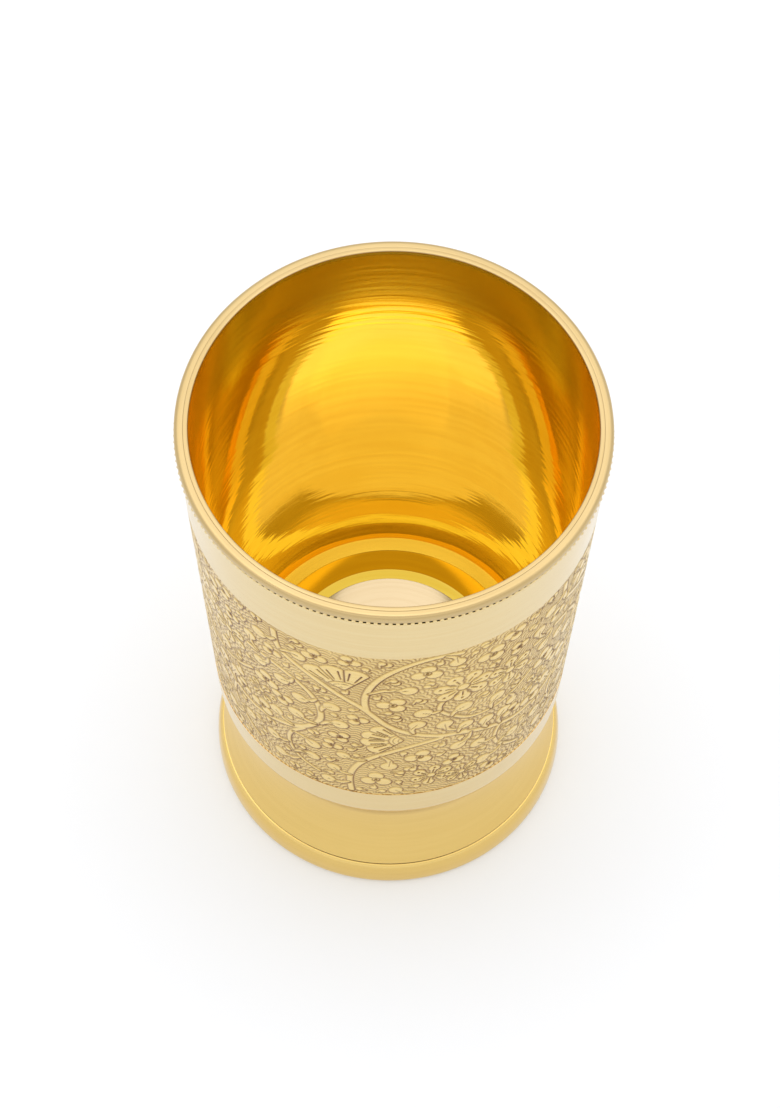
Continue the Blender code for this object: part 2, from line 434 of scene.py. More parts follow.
def cup_outline():
    """The whole cup: inside, lip, rebate, outside, underside and flange."""
    lip_in = (MOUTH_RADIUS, LIP_TOP)
    lip_out = (lip_outer, LIP_TOP)
    points = inside_outline()
    points += round_corner(points[-1], lip_in, lip_out, LIP_ROUND)
    points += round_corner(lip_in, lip_out, (lip_outer, SHOULDER), LIP_OUTER_ROUND)
    points.append((lip_outer, SHOULDER))
    points += outside_outline()
    points.append((FLANGE_OPENING, CUP_UNDERSIDE))
    points.append((FLANGE_OPENING, FLANGE_TOP))
    return points


cup = turn_piece("cup_body", cup_outline())

# %% [markdown]
# The floor of the cup is a plate set in from below. Seen from the mouth it has four parts: a dull recess
# next to the flange, a flat ring, a sloping border, and a middle that is only a little hollow.
# The border tips the light from straight above towards the eye, and the middle throws the picture of
# one wall across to the other. The plate is thin sheet, so its underside repeats the top.

# %% Floor plate
PLATE_TOP = 26.4 * MM
PLATE_SHEET = 1.2 * MM
PLATE_RADIUS = 27.5 * MM
RECESS_RADIUS = 24.5 * MM
RECESS_HEIGHT = 27.86 * MM
RECESS_WIDTH = 4.3 * MM
FLOOR_RAISED = 27.75 * MM
FLOOR_RING_WIDTH = 1.85 * MM
DISH_BORDER_WIDTH = 6.0 * MM
DISH_BORDER_SLOPE = math.radians(9.6)
DISH_HOLLOW = 0.49 * MM
DISH_STEPS = 24
DISH_EDGE_ROUND = 0.4 * MM
RECESS_EDGE_ROUND = 0.3 * MM


def floor_outline():
    """The plate's top from its middle out to its edge, and back along the underside."""
    ring_start = RECESS_RADIUS - RECESS_WIDTH
    dish_radius = ring_start - FLOOR_RING_WIDTH
    top = []
    border_start = dish_radius - DISH_BORDER_WIDTH
    border_foot = FLOOR_RAISED - DISH_BORDER_WIDTH * math.tan(DISH_BORDER_SLOPE)
    for step in range(DISH_STEPS + 1):
        share = step / DISH_STEPS
        top.append((border_start * share, border_foot - DISH_HOLLOW * (1 - share ** 2)))
    dish_edge, ring_edge = (dish_radius, FLOOR_RAISED), (ring_start, FLOOR_RAISED)
    recess_edge = (RECESS_RADIUS, RECESS_HEIGHT)
    top += round_corner(top[-1], dish_edge, ring_edge, DISH_EDGE_ROUND, steps=4)
    top += round_corner(dish_edge, ring_edge, recess_edge, RECESS_EDGE_ROUND, steps=4)
    under = [(radius, height - PLATE_SHEET) for radius, height in reversed(top)]
    inset = RECESS_RADIUS - PLATE_SHEET
    edge = [recess_edge, (RECESS_RADIUS, PLATE_TOP), (PLATE_RADIUS, PLATE_TOP)]
    edge += [(PLATE_RADIUS, PLATE_TOP - PLATE_SHEET), (inset, PLATE_TOP - PLATE_SHEET)]
    return top + edge + [(inset, RECESS_HEIGHT - PLATE_SHEET)] + under


floor_plate = turn_piece("floor_plate", floor_outline(), closed=False)

# %% [markdown]
# A heavy ring is fitted round the lip, and a row of small beads is tucked under it. On the real
# tumbler the ring and the lip meet in a hair line, so the ring comes close to the lip here.

# %% Rim ring
RING_TOP = 116.97 * MM
RING_UNDERSIDE = 115.47 * MM
RING_OUTER = 37.82 * MM
RING_ROUND = 0.80 * MM
RING_EDGE_ROUND = 0.05 * MM
HAIR_LINE = 0.006 * MM
LEG_OUTER = 36.9 * MM
LEG_BOTTOM = 114.0 * MM


def rim_outline():
    """A rounded band over a thin leg that stands on the cup's shoulder."""
    inner = lip_outer + HAIR_LINE
    top_in, top_out = (inner, RING_TOP), (RING_OUTER, RING_TOP)
    under_out, under_in = (RING_OUTER, RING_UNDERSIDE), (LEG_OUTER, RING_UNDERSIDE)
    points = round_corner((inner, LEG_BOTTOM), top_in, top_out, RING_EDGE_ROUND, steps=4)
    points += round_corner(top_in, top_out, under_out, RING_ROUND, steps=8)
    points += round_corner(top_out, under_out, under_in, RING_EDGE_ROUND, steps=4)
    return points + [under_in, (LEG_OUTER, LEG_BOTTOM), (inner, LEG_BOTTOM)]


rim = turn_piece("rim_band", rim_outline())

# %% [markdown]
# The beads are a little over a millimetre apart, nearly two hundred of them, so one bead has to stay
# small: a ball of a few dozen faces, made a little narrower along the row, with its back cut off flat
# where it meets the ring. One bead is modelled, and spin copies it round the axis.

# %% Beads
BEAD_RADIUS = 0.52 * MM
BEAD_CENTRE_RADIUS = 37.44 * MM
BEAD_HEIGHT = 114.93 * MM
BEAD_PITCH = 1.24 * MM
BEAD_STRETCH = 0.86
BEAD_BACK = 0.30 * MM
BEAD_SIDES = 8
BEAD_RINGS = 6
bead_count = round(math.tau * BEAD_CENTRE_RADIUS / BEAD_PITCH)


def make_beads():
    """One bead at the front of the row, copied all the way round."""
    bpy.ops.object.select_all(action="DESELECT")
    place = Vector((0, -BEAD_CENTRE_RADIUS, BEAD_HEIGHT))
    bpy.ops.mesh.primitive_uv_sphere_add(segments=BEAD_SIDES, ring_count=BEAD_RINGS, radius=BEAD_RADIUS)
    beads = open_piece("bead_row")
    bpy.ops.transform.resize(value=(BEAD_STRETCH, 1, 1))
    bpy.ops.transform.translate(value=place)
    back = place + Vector((0, BEAD_BACK, 0))
    bpy.ops.mesh.bisect(plane_co=back, plane_no=(0, 1, 0), clear_outer=True, use_fill=True)
    bpy.ops.mesh.select_all(action="SELECT")
    sweep = math.tau * (bead_count - 1) / bead_count
    bpy.ops.mesh.spin(steps=bead_count - 1, dupli=True, angle=sweep, center=(0, 0, 0), axis=(0, 0, 1))
    close_piece()
    print("beads", bead_count, "faces", len(beads.data.polygons))
    return beads


beads = make_beads()

# %% [markdown]
# The foot is a hollow flare on a short neck, with a ledge inside for the floor plate, and it stands on a
# heavier ring whose outside is a soft curve. Both are turned, and a narrow groove is left between them.

# %% Foot and base ring
NECK_RADIUS = 28.9 * MM
NECK_TOP = 26.6 * MM
NECK_BOTTOM = 22.9 * MM
FOOT_SHEET = 1.1 * MM
LEDGE_TOP = 24.9 * MM
LEDGE_THICKNESS = 1.0 * MM
LEDGE_WIDTH = 2.2 * MM
FLARE_RADIUS = 32.2 * MM
FLARE_SAG = 0.9 * MM
FLARE_STEPS = 20
BASE_HEIGHT = 6.0 * MM
BASE_CROWN = 1.5 * MM
BASE_BULGE = 1.2 * MM
BASE_UNDERCUT = 0.9 * MM
BASE_INSET = 0.6 * MM
GROOVE = 0.22 * MM


def foot_outline():
    """Neck and flare outside, and inside the same in sheet, with the ledge."""
    flare = []
    for step in range(FLARE_STEPS + 1):
        share = step / FLARE_STEPS
        radius = NECK_RADIUS + (FLARE_RADIUS - NECK_RADIUS) * share
        height = NECK_BOTTOM + (BASE_HEIGHT + GROOVE - NECK_BOTTOM) * share
        flare.append((radius - 4 * FLARE_SAG * share * (1 - share), height))
    seat = NECK_RADIUS - FOOT_SHEET
    ledge_bottom = LEDGE_TOP - LEDGE_THICKNESS
    points = [(NECK_RADIUS, NECK_TOP)] + flare
    points += [(radius - FOOT_SHEET, height) for radius, height in reversed(flare)]
    points += [(seat, ledge_bottom), (seat - LEDGE_WIDTH, ledge_bottom)]
    points += [(seat - LEDGE_WIDTH, LEDGE_TOP), (seat, LEDGE_TOP), (seat, NECK_TOP)]
    return points


def base_outline():
    """A band that swells to its widest near the table, flat underneath."""
    inner = FLARE_RADIUS - FOOT_SHEET - BASE_INSET
    lower_centre = (FLARE_RADIUS + BASE_BULGE - BASE_UNDERCUT, BASE_CROWN)
    points = oval_arc((FLARE_RADIUS, BASE_CROWN), BASE_BULGE, BASE_HEIGHT - BASE_CROWN, 90, 0, 16)
    points += oval_arc(lower_centre, BASE_UNDERCUT, BASE_CROWN, 0, -90, 8)[1:]
    return points + [(inner, 0), (inner, BASE_HEIGHT)]


foot = turn_piece("foot_flare", foot_outline())
base = turn_piece("base_band", base_outline())

# %% [markdown]
# The side of the cup is covered with a vine: stems, round leaves, trefoils, fans and daisies, cut with
# a burin, on a ground of small scales. Real cuts are shallow grooves that have gone dark, so the relief
# is real geometry here: a fine grid is pushed in, and each point also keeps how dark it is.
# The pattern is worked out flat first: across in millimetres of arc, and up in millimetres of height.
# It repeats four times round the cup, so distances across wrap at the panel's edge.

# %% A flat grid for one panel
PANELS = 4
REFERENCE_RADIUS = 35.0
GRID_ACROSS = 420
GRID_UP = 232
CORNER_CUT = 0.25
panel_width = math.tau * REFERENCE_RADIUS / PANELS
band_low = BAND_BOTTOM / MM
band_high = BAND_TOP / MM
across_line = np.linspace(-panel_width / 2, panel_width / 2, GRID_ACROSS + 1)
up_line = np.linspace(band_low, band_high, GRID_UP + 1)
grid_across, grid_up = np.meshgrid(across_line, up_line)
print("panel", round(panel_width, 2), "mm across,", band_high - band_low, "mm up")


def apart(place):
    """How far every grid point lies from a place, across and up."""
    across = (grid_across - place[0] + panel_width / 2) % panel_width - panel_width / 2
    return across, grid_up - place[1]


def towards(place, reach, turn):
    """The point at a distance and at an angle in degrees from a place."""
    lean = math.radians(turn)
    return place[0] + reach * math.cos(lean), place[1] + reach * math.sin(lean)


def soften(path, rounds=2):
    """Cut the corners of a path, so that a few points make a smooth curve."""
    for _ in range(rounds):
        points = [path[0]]
        for (a, b), (c, d) in zip(path, path[1:]):
            points.append((a * (1 - CORNER_CUT) + c * CORNER_CUT, b * (1 - CORNER_CUT) + d * CORNER_CUT))
            points.append((a * CORNER_CUT + c * (1 - CORNER_CUT), b * CORNER_CUT + d * (1 - CORNER_CUT)))
        path = points + [path[-1]]
    return path


def disc_gap(place, radius):
    """Distance from every grid point to the edge of a round spot, below zero inside it."""
    return np.hypot(*apart(place)) - radius


def stem_gap(path, start_width, end_width):
    """Distance to the edge of a stem that changes width along its path, below zero inside it."""
    path = soften(path)
    nearest = np.full(grid_up.shape, panel_width)
    for step, (here, there) in enumerate(zip(path, path[1:])):
        share = step / (len(path) - 1)
        half = (start_width + (end_width - start_width) * share) / 2
        across, up = apart(here)
        run_across, run_up = there[0] - here[0], there[1] - here[1]
        along = (across * run_across + up * run_up) / (run_across ** 2 + run_up ** 2)
        along = np.clip(along, 0, 1)
        gap = np.hypot(across - along * run_across, up - along * run_up) - half
        nearest = np.minimum(nearest, gap)
    return nearest


# %% [markdown]
# Two moves make the whole drawing. A stamp lays a smooth shape over what is there and cuts a line
# round its edge, and that line gets painted shade on its lower right. A cut only drives a dark stroke or a
# dot into the shape below. The ground comes first: rows of scales, in patches that run different ways, as
# a hand would turn the work.

# %% Ground, stamp and cut
LINE_WIDTH = 0.17
# The next value is how much of an outline's tone stays on its lit side. The rest is painted shade.
LIGHT_SIDE = 0.50
LINE_DEPTH = 0.16
GROUND_DEPTH = 0.07
GROUND_TONE = 0.06
SCALE_DEPTH = 0.08
SCALE_TONE = 0.62
SCALE_ROW = 0.98
SCALE_WIDTH = 1.9
SCALE_RISE = 0.75
SCALE_PATCHES = 26
SCALE_SHARPNESS = 3
PATCH_TURNS = 140
PATCH_STEP = 0.37
# These two set the painted shade on the lower right of each outline.
SHADE_ACROSS = 0.30
SHADE_UP = 0.45
GOLDEN = 0.618


def scale_rows():
    """Arched rows between 0 and 1, in patches round scattered seeds."""
    nearest = np.full(grid_up.shape, panel_width)
    rows = np.zeros(grid_up.shape)
    for patch in range(SCALE_PATCHES):
        across_share = patch * GOLDEN % 1 - 0.5
        up_share = (patch + 0.5) / SCALE_PATCHES
        across, up = apart((across_share * panel_width, band_low + up_share * (band_high - band_low)))
        lean = math.radians(PATCH_TURNS * (patch * PATCH_STEP % 1) - PATCH_TURNS / 2)
        right = across * math.cos(lean) + up * math.sin(lean)
        ahead = up * math.cos(lean) - across * math.sin(lean)
        arch = SCALE_RISE * np.sqrt(1 - (right / SCALE_WIDTH % 1 * 2 - 1) ** 2)
        wave = 0.5 + 0.5 * np.cos(math.tau * (ahead - arch) / SCALE_ROW)
        reach = np.hypot(across, up)
        rows = np.where(reach < nearest, wave, rows)
        nearest = np.minimum(nearest, reach)
    return rows


def stamp(gap):
    """Lay a smooth shape over the band, and cut its outline, with painted shade that makes it heavier on
    the lower right.
    """
    inside = np.clip(0.5 - gap / LINE_WIDTH, 0, 1)
    line = np.exp(-(gap / LINE_WIDTH) ** 2)
    # The outline gets painted shade on its lower right, as if it were lit from the upper left.
    slope_up, slope_across = np.gradient(gap, up_line, across_line)
    shaded_side = np.clip(0.5 + SHADE_ACROSS * slope_across - SHADE_UP * slope_up, 0, 1)
    band["depth"] = np.maximum(band["depth"] * (1 - inside), LINE_DEPTH * line)
    shade_weight = LIGHT_SIDE + (1 - LIGHT_SIDE) * shaded_side
    band["tone"] = np.maximum(band["tone"] * (1 - inside), line * shade_weight)
    band["clear"] = np.minimum(band["clear"], gap)


def cut(gap):
    """Cut a dark stroke or a dot into the shape below."""
    line = np.clip(0.5 - gap / LINE_WIDTH, 0, 1)
    band["depth"] = np.maximum(band["depth"], LINE_DEPTH * line)
    band["tone"] = np.maximum(band["tone"], line)


scales = scale_rows() ** SCALE_SHARPNESS
band = {"depth": GROUND_DEPTH + SCALE_DEPTH * scales, "tone": GROUND_TONE + SCALE_TONE * scales}
band["clear"] = np.full(grid_up.shape, panel_width)
print("ground tone", round(float(band["tone"].mean()), 2))

# %% [markdown]
# The motifs are small recipes of stamps and cuts. A leaf is a round spot on a curved stalk, with a fine
# vein when it is large. A trefoil is three spots about a dark eye.

# %% Leaf and trefoil
EYE_RADIUS = 0.32
STALK_BOW = 0.22
LEAF_GROWTH = 1.14
VEINED_SIZE = 1.4
VEIN_WIDTH = 0.10
STALK_END = 0.55
LOBE_REACH = 1.05
LOBE_HEART = 0.45


def leaf(head, tail, size):
    """A round leaf on a curved stalk."""
    size = size * LEAF_GROWTH
    bow_across = (tail[1] - head[1]) * STALK_BOW
    bow_up = (head[0] - tail[0]) * STALK_BOW
    middle = ((head[0] + tail[0]) / 2 + bow_across, (head[1] + tail[1]) / 2 + bow_up)
    stamp(np.minimum(disc_gap(head, size), stem_gap([head, middle, tail], size, STALK_END)))
    if size > VEINED_SIZE:
        cut(stem_gap([head, middle], VEIN_WIDTH, VEIN_WIDTH))


def trefoil(place, size, turn):
    """Three round lobes about a dark eye."""
    for lobe in range(3):
        stamp(disc_gap(towards(place, size * LOBE_REACH, turn + 120 * lobe), size))
    stamp(disc_gap(place, size * LOBE_HEART))
    cut(disc_gap(place, EYE_RADIUS))


print("leaves grow by", LEAF_GROWTH)

# %% [markdown]
# A daisy has a dot and a stroke in each petal. A fan has ribbed petals over a little dome, and it is drawn
# by angle and distance from its foot, because its petals are cut out of a ring.

# %% Daisy and fan
STROKE_WIDTH = 0.26
PETAL_REACH = 0.72
PETAL_TIP = 0.30
PETAL_ENDS = (0.12, 0.5)
PETAL_DOT = 0.78
PETAL_STROKE = (0.34, 0.6)
DAISY_HEART = 0.22
FAN_CROWN = 0.10
RIB_PLACES = (-0.25, 0.25)
RIB_MARGINS = (0.9, 1.9)
RIB_WIDTHS = (0.7, 1.4)
DOME_RINGS = (0.40, 0.74)
DOME_RING_WIDTH = 0.05
DOME_MARGIN = 0.3


def daisy(place, size, petals, turn):
    """Petals with a dot near the end and a stroke towards the middle."""
    leans = [turn + 360 * petal / petals for petal in range(petals)]
    for lean in leans:
        tip = towards(place, size * PETAL_REACH, lean)
        blade = stem_gap([place, tip], *(size * end for end in PETAL_ENDS))
        stamp(np.minimum(disc_gap(tip, size * PETAL_TIP), blade))
    for lean in leans:
        cut(disc_gap(towards(place, size * PETAL_DOT, lean), STROKE_WIDTH))
        stroke = [towards(place, size * reach, lean) for reach in PETAL_STROKE]
        cut(stem_gap(stroke, STROKE_WIDTH, STROKE_WIDTH))
    stamp(disc_gap(place, size * DAISY_HEART))


def fan(place, inner, outer, opening, petals, spread):
    """Ribbed petals over a small dome, open towards an angle in degrees."""
    across, up = apart(place)
    reach = np.hypot(across, up)
    lean = np.degrees(np.arctan2(up, across))
    arm = np.radians(1) * np.maximum(reach, LINE_WIDTH)
    width = spread / petals
    for petal in range(petals):
        middle = opening + width * (petal - (petals - 1) / 2)
        off = (lean - middle + 180) % 360 - 180
        end = outer * (1 - FAN_CROWN * (2 * off / width) ** 2)
        stamp(np.maximum.reduce([(np.abs(off) - width / 2) * arm, reach - end, inner - reach]))
        for rib in RIB_PLACES:
            near = towards(place, inner + RIB_MARGINS[0], middle + width * rib)
            far = towards(place, outer - RIB_MARGINS[1], middle + width * rib)
            cut(stem_gap([near, far], *(STROKE_WIDTH * share for share in RIB_WIDTHS)))
    off = np.abs((lean - opening + 180) % 360 - 180)
    dome = np.maximum(reach - inner, (off - spread / 2) * arm)
    stamp(dome)
    for ring in DOME_RINGS:
        cut(np.maximum(np.abs(reach - inner * ring) - DOME_RING_WIDTH, dome + DOME_MARGIN))


print("strokes", STROKE_WIDTH, "mm wide")

# %% [markdown]
# One main stem wanders down across the panel and throws off side stems, and the leaves hang on those.
# Each path is a handful of places, across and up, as they were measured on the photograph.
# The left stem starts where the right stem leaves the panel, so the vine runs on round the cup.

# %% Vine
MAIN_STEM = [(-20.6, 98.2), (-20.4, 94.0), (-19.6, 91.2), (-16.9, 89.0), (-12.4, 85.5), (-8.9, 82.0)]
MAIN_STEM += [(-4.9, 78.5), (-2.6, 75.0), (-0.6, 71.5), (2.2, 68.5), (5.7, 66.2), (10.2, 63.8)]
MAIN_STEM += [(14.2, 63.2)]
UPPER_STEM = [(-3.9, 77.0), (-4.4, 81.5), (-3.6, 86.5), (-1.9, 91.0), (0.7, 94.8)]
UPPER_STEM += [(4.2, 97.8), (8.2, 99.2), (12.2, 98.4)]
LOWER_STEM = [(9.7, 63.2), (5.2, 62.0), (1.2, 59.8), (-2.9, 56.5), (-5.4, 53.0)]
LOWER_STEM += [(-6.9, 49.0), (-7.4, 45.0), (-7.0, 40.0)]
RIGHT_STEM = [(13.0, 63.3), (17.6, 61.0), (21.6, 58.8), (24.8, 57.4), (27.5, 57.0)]
LEFT_STEM = [(-27.5, 57.0), (-24.8, 57.3), (-21.6, 58.4), (-17.9, 60.5), (-14.9, 63.5), (-12.4, 68.0)]
LEFT_STEM += [(-12.3, 73.0), (-13.6, 78.0), (-17.0, 82.0), (-22.0, 84.4), (-27.0, 84.0)]
HOOK_STEM = [(12.7, 71.0), (10.2, 73.5), (8.7, 76.5), (9.4, 79.4), (11.4, 81.2)]
SIDE_STEM = [(12.2, 71.5), (14.0, 69.6), (16.2, 68.5), (20.7, 68.4), (25.0, 71.0), (28.0, 74.0)]
LOW_LEFT_STEM = [(-16.0, 61.6), (-19.2, 57.0), (-19.8, 52.0), (-17.8, 47.0), (-13.5, 44.6)]
LOW_RIGHT_STEM = [(22.0, 58.6), (20.8, 54.6), (21.8, 50.0), (24.8, 46.0), (27.5, 44.0)]
THICK, MEDIUM, THIN = 1.5, 1.4, 1.1

fan((-7.6, 84.6), inner=3.4, outer=9.4, opening=107, petals=3, spread=96)
fan((2.9, 64.4), inner=2.8, outer=8.2, opening=176, petals=4, spread=112)
stems = [stem_gap(path, THICK, THICK) for path in (MAIN_STEM, RIGHT_STEM)]
stems += [stem_gap(path, MEDIUM, MEDIUM) for path in (UPPER_STEM, LOWER_STEM, LEFT_STEM)]
stems += [stem_gap(path, THIN, THIN) for path in (HOOK_STEM, SIDE_STEM, LOW_LEFT_STEM, LOW_RIGHT_STEM)]
stamp(np.minimum.reduce(stems))
print("stems", len(stems), "and two fans")

# %% [markdown]
# The leaves hang on the stems. Each is given by the middle of its round end, by the place on the stem
# where its stalk starts, and by its size. They are stamped after the stems, so the stalks lie on top.

# %% Leaves
UPPER_LEAVES = [
    ((3.4, 86.2), (-3.4, 84.6), 1.45), ((6.1, 75.8), (9.2, 75.6), 1.6),
    ((5.1, 71.0), (4.6, 67.2), 1.5), ((10.2, 69.0), (12.8, 65.0), 1.5),
    ((13.6, 74.6), (11.4, 72.0), 1.6), ((14.4, 66.2), (13.0, 63.8), 1.4),
    ((18.6, 64.4), (19.0, 60.6), 1.5), ((22.4, 64.0), (22.0, 59.0), 1.5),
    ((20.4, 72.6), (19.4, 68.6), 1.5), ((24.0, 66.4), (23.4, 69.6), 1.2),
    ((11.6, 95.0), (9.4, 98.6), 1.4), ((-16.0, 92.6), (-19.4, 91.4), 1.4),
    ((-24.0, 93.0), (-20.4, 95.0), 1.5), ((-26.4, 88.6), (-24.6, 84.4), 1.4),
    ((-24.6, 80.6), (-22.4, 84.0), 1.4), ((-20.0, 78.6), (-17.4, 81.6), 1.5),
    ((-16.4, 74.6), (-13.0, 77.0), 1.5), ((-10.2, 75.8), (-12.2, 72.6), 1.5),
    ((-8.8, 69.0), (-12.4, 66.6), 1.5), ((-17.4, 67.0), (-13.4, 66.0), 1.6),
]
LOWER_LEAVES = [
    ((-22.0, 63.0), (-18.4, 60.6), 1.5), ((-14.4, 56.0), (-18.4, 57.6), 1.5),
    ((-23.4, 50.6), (-19.8, 51.6), 1.5), ((-14.6, 50.4), (-18.6, 48.4), 1.4),
    ((-22.0, 44.4), (-17.6, 46.4), 1.4), ((-11.6, 42.4), (-7.4, 43.4), 1.4),
    ((-10.4, 48.6), (-7.0, 47.0), 1.3), ((-8.4, 55.2), (-4.2, 54.8), 1.3),
    ((0.2, 52.6), (-1.2, 57.0), 1.5), ((1.6, 41.4), (5.0, 40.0), 1.3),
    ((13.2, 57.6), (15.6, 61.6), 1.5), ((17.4, 55.0), (21.2, 53.6), 1.5),
    ((25.6, 50.6), (22.2, 49.6), 1.4), ((19.0, 46.0), (23.2, 47.6), 1.5),
]
for head, tail, size in UPPER_LEAVES + LOWER_LEAVES:
    leaf(head, tail, size)
print("leaves", len(UPPER_LEAVES), "on the upper half and", len(LOWER_LEAVES), "on the lower half")

# %% [markdown]
# The flowers come last, because they cover what lies below. A trefoil is given by its place, size and
# turn, and a daisy by its number of petals as well.

# %% Flowers
TREFOILS = [
    ((0.7, 80.2), 1.5, 60), ((6.4, 92.8), 1.5, 85), ((18.2, 92.6), 1.5, 60),
    ((22.4, 96.2), 1.3, 40), ((-13.0, 95.6), 1.3, 90), ((-23.6, 74.2), 1.5, 90),
    ((-20.2, 70.2), 1.3, 30), ((24.6, 61.6), 1.2, 90), ((-25.4, 60.4), 1.5, 70),
    ((5.9, 56.2), 1.45, 70), ((12.6, 51.6), 1.2, 90), ((-2.2, 46.2), 1.6, 90),
]
DAISIES = [
    ((13.1, 83.5), 5.6, 7, 12), ((22.4, 81.4), 4.8, 6, 30), ((-25.2, 67.0), 3.6, 6, 0),
    ((8.4, 46.8), 4.2, 6, 20), ((14.6, 44.4), 3.6, 6, 40),
]
for place, size, turn in TREFOILS:
    trefoil(place, size, turn)
for place, size, petals, turn in DAISIES:
    daisy(place, size, petals, turn)
print("trefoils", len(TREFOILS), "daisies", len(DAISIES))

# %% [markdown]
# A hand that engraves a vine leaves no large patch empty. So the last step looks for free ground, place
# by place, and puts a small trefoil, a pair of leaves or a single leaf where there is room. Each stamp
# keeps a note of how far every point is from the nearest shape, and that tells how much room is left.
# At the end the tone is varied a little, as a hand presses more or less, and a fine line closes each
# edge of the band.

# %% Filling the gaps
FILL_TRIES = 900
SILVER = 0.7549
FILL_TURN_STEP = 0.41
FILL_ROOM = {"trefoil": 2.5, "pair": 1.75, "leaf": 1.25}
FILL_TREFOIL = 1.15
FILL_LEAVES = {"pair": [(0.75, 0, 1.3, 180, 0.85), (0.9, 75, 1.0, 200, 0.7)]}
FILL_LEAVES["leaf"] = [(0.3, 0, 1.0, 180, 0.7)]
HAND_PRESSURE = 0.15
PRESSURE_WAVES = 2
PRESSURE_SWAY = 5
PRESSURE_RISE = 4
EDGE_LINE_INSET = 0.15
EDGE_LINE_WIDTH = 0.03


def room_at(place):
    """Free distance round a place."""
    column = round((place[0] / panel_width + 0.5) * GRID_ACROSS)
    row = round((place[1] - band_low) / (band_high - band_low) * GRID_UP)
    return min(band["clear"][row, column], place[1] - band_low, band_high - place[1])


def fill_gaps():
    """Small leaves and trefoils wherever the ground is still free."""
    counts = dict.fromkeys(FILL_ROOM, 0)
    for kind, least in FILL_ROOM.items():
        for attempt in range(FILL_TRIES):
            across = (attempt * GOLDEN % 1 - 0.5) * panel_width
            place = (across, band_low + attempt * SILVER % 1 * (band_high - band_low))
            turn = 360 * (attempt * FILL_TURN_STEP % 1)
            if room_at(place) < least:
                continue
            counts[kind] += 1
            if kind == "trefoil":
                trefoil(place, FILL_TREFOIL, turn)
            for reach, lean, tail_reach, tail_lean, size in FILL_LEAVES.get(kind, []):
                head = towards(place, reach, turn + lean)
                leaf(head, towards(place, tail_reach, turn + tail_lean), size)
    return counts


print("filled with", fill_gaps())
sway = math.tau * PRESSURE_WAVES * grid_across / panel_width + np.sin(grid_up / PRESSURE_SWAY)
pressure = np.sin(sway) * np.cos(grid_up / PRESSURE_RISE)
band["tone"] = band["tone"] * (1 - HAND_PRESSURE + HAND_PRESSURE * pressure)
cut(np.abs(grid_up - band_high + EDGE_LINE_INSET) - EDGE_LINE_WIDTH)
cut(np.abs(grid_up - band_low - EDGE_LINE_INSET) - EDGE_LINE_WIDTH)
print("band tone", round(float(band["tone"].mean()), 2))
print("deepest cut", round(float(band["depth"].max()), 2), "mm")

# %% [markdown]
# Now the flat drawing becomes metal. A grid as large as the panel is wrapped round the cup, and every
# point goes in by the depth of its cut. How dark the point is goes with it as an attribute, and the
# finish reads that later. One panel is made, copied three times, and each copy is turned a quarter
# further in edit mode.

# %% Engraved panels
def wrap_panel():
    """Lay the drawing on the cup's side, at the front."""
    bpy.ops.object.select_all(action="DESELECT")
    bpy.ops.mesh.primitive_grid_add(x_subdivisions=GRID_ACROSS, y_subdivisions=GRID_UP, size=1)
    panel = open_piece("engraved_panel")
    bpy.ops.transform.resize(value=(panel_width, band_high - band_low, 1))
    bpy.ops.object.mode_set(mode="OBJECT")
    places = np.zeros(len(panel.data.vertices) * 3)
    panel.data.vertices.foreach_get("co", places)
    places = places.reshape(-1, 3)
    column = np.rint((places[:, 0] / panel_width + 0.5) * GRID_ACROSS).astype(int)
    row = np.rint((places[:, 1] / (band_high - band_low) + 0.5) * GRID_UP).astype(int)
    height = grid_up[row, column] * MM
    turn = grid_across[row, column] / REFERENCE_RADIUS
    radius = outside_radius(height) - band["depth"][row, column] * MM
    places = np.stack([radius * np.sin(turn), -radius * np.cos(turn), height], axis=1)
    panel.data.vertices.foreach_set("co", places.ravel())
    # This attribute holds how dark each point is: the patina of the cuts together with their painted
    # shade.
    darkening = panel.data.attributes.new("darkening", "FLOAT", "POINT")
    darkening.data.foreach_set("value", band["tone"][row, column].ravel())
    panel.data.update()
    bpy.ops.object.shade_smooth()
    return panel


def copy_panel(panel, quarter):
    """A copy of the panel with its own mesh, turned about the cup's axis."""
    bpy.ops.object.select_all(action="DESELECT")
    panel.select_set(True)
    bpy.context.view_layer.objects.active = panel
    bpy.ops.object.duplicate()
    copy = open_piece("engraved_panel_" + str(quarter))
    turn = quarter * math.tau / PANELS
    bpy.ops.transform.rotate(value=turn, orient_axis="Z", center_override=(0, 0, 0))
    bpy.ops.object.mode_set(mode="OBJECT")
    return copy


first_panel = wrap_panel()
panels = [first_panel] + [copy_panel(first_panel, quarter) for quarter in range(1, PANELS)]
print("panels", len(panels), "faces in each", len(first_panel.data.polygons))

# %% [markdown]
# All the brass comes from one recipe, so that the pieces look like one metal. It is a node group that
# mixes a bright and a dull tone, by soft smudges and by fine lathe marks, and lays two thin coats of a
# dark tint over them where there is patina and where shade is painted. The marks follow the height plus
# the radius, so they run round the walls and round the floor alike. Each finish then sets its own tones
# and its own roughness.

# %% Brass recipe
SMUDGE_SCALE = 55.0
SMUDGE_DETAIL = 3
SMUDGE_SHARE = 0.5
MARK_STRETCH = 35.0
MARK_SCALE = 1
MARK_DETAIL = 2
MARK_EDGES = (0.36, 0.64)
LEAST_SPREAD = 0.5
DARKENING_ROUGHNESS = 0.15
DARKENING_COATS = 2


def mix_node(nodes, links, factor, first, second, blend="MIX"):
    """Mix two colours by a factor. The second is a socket or a plain colour."""
    node = nodes.new("ShaderNodeMix")
    node.data_type = "RGBA"
    node.blend_type = blend
    links.new(factor, node.inputs["Factor"])
    links.new(first, node.inputs["A"])
    if isinstance(second, tuple):
        node.inputs["B"].default_value = (*second, 1)
    else:
        links.new(second, node.inputs["B"])
    return node.outputs["Result"]


